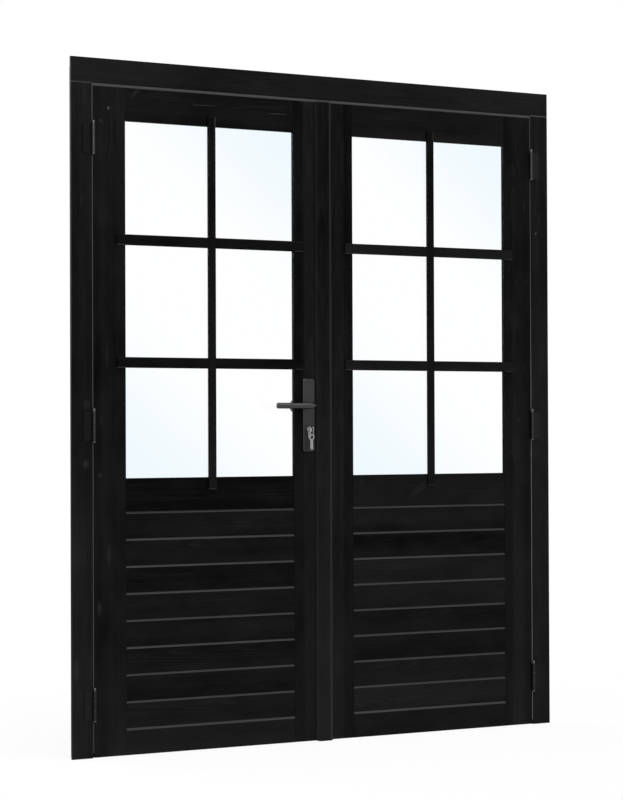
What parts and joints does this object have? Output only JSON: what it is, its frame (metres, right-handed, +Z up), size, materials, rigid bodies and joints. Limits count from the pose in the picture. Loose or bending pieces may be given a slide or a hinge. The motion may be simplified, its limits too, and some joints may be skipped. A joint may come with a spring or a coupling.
{
  "type": "french doors",
  "caption": "Timber french doors in their frame, glazed above behind planted bars and boarded below, with lever lock, keys, slide bolts and face hinges.",
  "frame": {"origin": "middle of the frame's foot line, on the leaves' mid plane, where the jambs stand", "axes": "+X to the right seen from outside, +Y inwards through the doors, +Z up"},
  "size_m": [1.68, 0.1285, 2.01],
  "materials": {
    "stained_wood": "black stained softwood, satin",
    "stained_boards": "black stained boards, satin",
    "seal_rubber": "grey soft seal",
    "clear_glass": "clear float glass",
    "hinge_steel": "dull plated steel",
    "handle_metal": "satin steel",
    "lock_steel": "plated steel",
    "key_steel": "bright plated"
  },
  "bodies": {
    "frame": {"left_jamb": "stained_wood", "right_jamb": "stained_wood", "frame_head": "stained_wood", "left_jamb_seal": "seal_rubber", "right_jamb_seal": "seal_rubber", "head_seal": "seal_rubber", "left_frame_hinge_plates": "hinge_steel", "right_frame_hinge_plates": "hinge_steel", "left_hinge_pins": "hinge_steel", "right_hinge_pins": "hinge_steel", "bolt_keeper": "hinge_steel"},
    "left_leaf": {"left_hinge_stile": "stained_wood", "left_meeting_stile": "stained_wood", "left_top_rail": "stained_wood", "left_lock_rail": "stained_wood", "left_bottom_rail": "stained_wood", "left_panel_boards": "stained_boards", "left_glass": "clear_glass", "left_glazing_beads": "stained_wood", "left_muntin_upright": "stained_wood", "left_muntin_cross_bars": "stained_wood", "left_leaf_hinge_plates": "hinge_steel", "cover_strip": "stained_wood", "lock_case": "lock_steel", "lock_forend": "lock_steel", "lock_cylinder": "lock_steel", "outer_handle_plate": "handle_metal", "inner_handle_plate": "handle_metal", "handle_bolts": "handle_metal"},
    "right_leaf": {"right_hinge_stile": "stained_wood", "right_meeting_stile": "stained_wood", "right_top_rail": "stained_wood", "right_lock_rail": "stained_wood", "right_bottom_rail": "stained_wood", "right_panel_boards": "stained_boards", "right_glass": "clear_glass", "right_glazing_beads": "stained_wood", "right_muntin_upright": "stained_wood", "right_muntin_cross_bars": "stained_wood", "right_leaf_hinge_plates": "hinge_steel", "strike_plate": "lock_steel", "top_slide_guide": "hinge_steel", "foot_slide_guide": "hinge_steel"},
    "lever_set": {"outer_lever": "handle_metal", "inner_knob": "handle_metal", "spindle": "lock_steel", "latch_hub": "lock_steel"},
    "latch": {"latch_bolt": "lock_steel"},
    "key_set": {"cylinder_plug": "lock_steel", "house_key": "key_steel", "key_ring": "key_steel", "spare_key": "key_steel"},
    "lock_bolt": {"dead_bolt": "lock_steel"},
    "top_slide": {"top_slide_rod": "hinge_steel"},
    "foot_slide": {"foot_slide_rod": "hinge_steel"}
  },
  "joints": [
    {"name": "left_leaf_hinge", "type": "hinge", "parent": "frame", "child": "left_leaf", "pos_m": [-0.7725, -0.0256, 0], "axis": [0, 0, -1], "range_deg": [0, 165]},
    {"name": "right_leaf_hinge", "type": "hinge", "parent": "frame", "child": "right_leaf", "pos_m": [0.7725, -0.0256, 0], "axis": [0, 0, 1], "range_deg": [0, 165]},
    {"name": "lever_turn", "type": "hinge", "parent": "left_leaf", "child": "lever_set", "pos_m": [-0.057, 0, 1.0105], "axis": [0, -1, 0], "range_deg": [0, 40], "stiffness_Nm_per_rad": 1.5, "springref_deg": -34.38},
    {"name": "latch_slide", "type": "slide", "parent": "left_leaf", "child": "latch", "axis": [-1, 0, 0], "range_m": [0, 0.011]},
    {"name": "key_turn", "type": "hinge", "parent": "left_leaf", "child": "key_set", "pos_m": [-0.057, 0, 0.9395], "axis": [0, 1, 0], "range_deg": [0, 360]},
    {"name": "lock_bolt_slide", "type": "slide", "parent": "left_leaf", "child": "lock_bolt", "axis": [1, 0, 0], "range_m": [0, 0.014]},
    {"name": "top_bolt_slide", "type": "slide", "parent": "right_leaf", "child": "top_slide", "axis": [0, 0, 1], "range_m": [0, 0.02]},
    {"name": "foot_bolt_slide", "type": "slide", "parent": "right_leaf", "child": "foot_slide", "axis": [0, 0, -1], "range_m": [0, 0.02]}
  ],
  "couplings": [
    {"joint": "right_leaf_hinge", "follows": "left_leaf_hinge", "ratio": 1},
    {"joint": "latch_slide", "follows": "lever_turn", "m_per_rad": 0.015756},
    {"joint": "lock_bolt_slide", "follows": "key_turn", "m_per_rad": 0.002228}
  ]
}
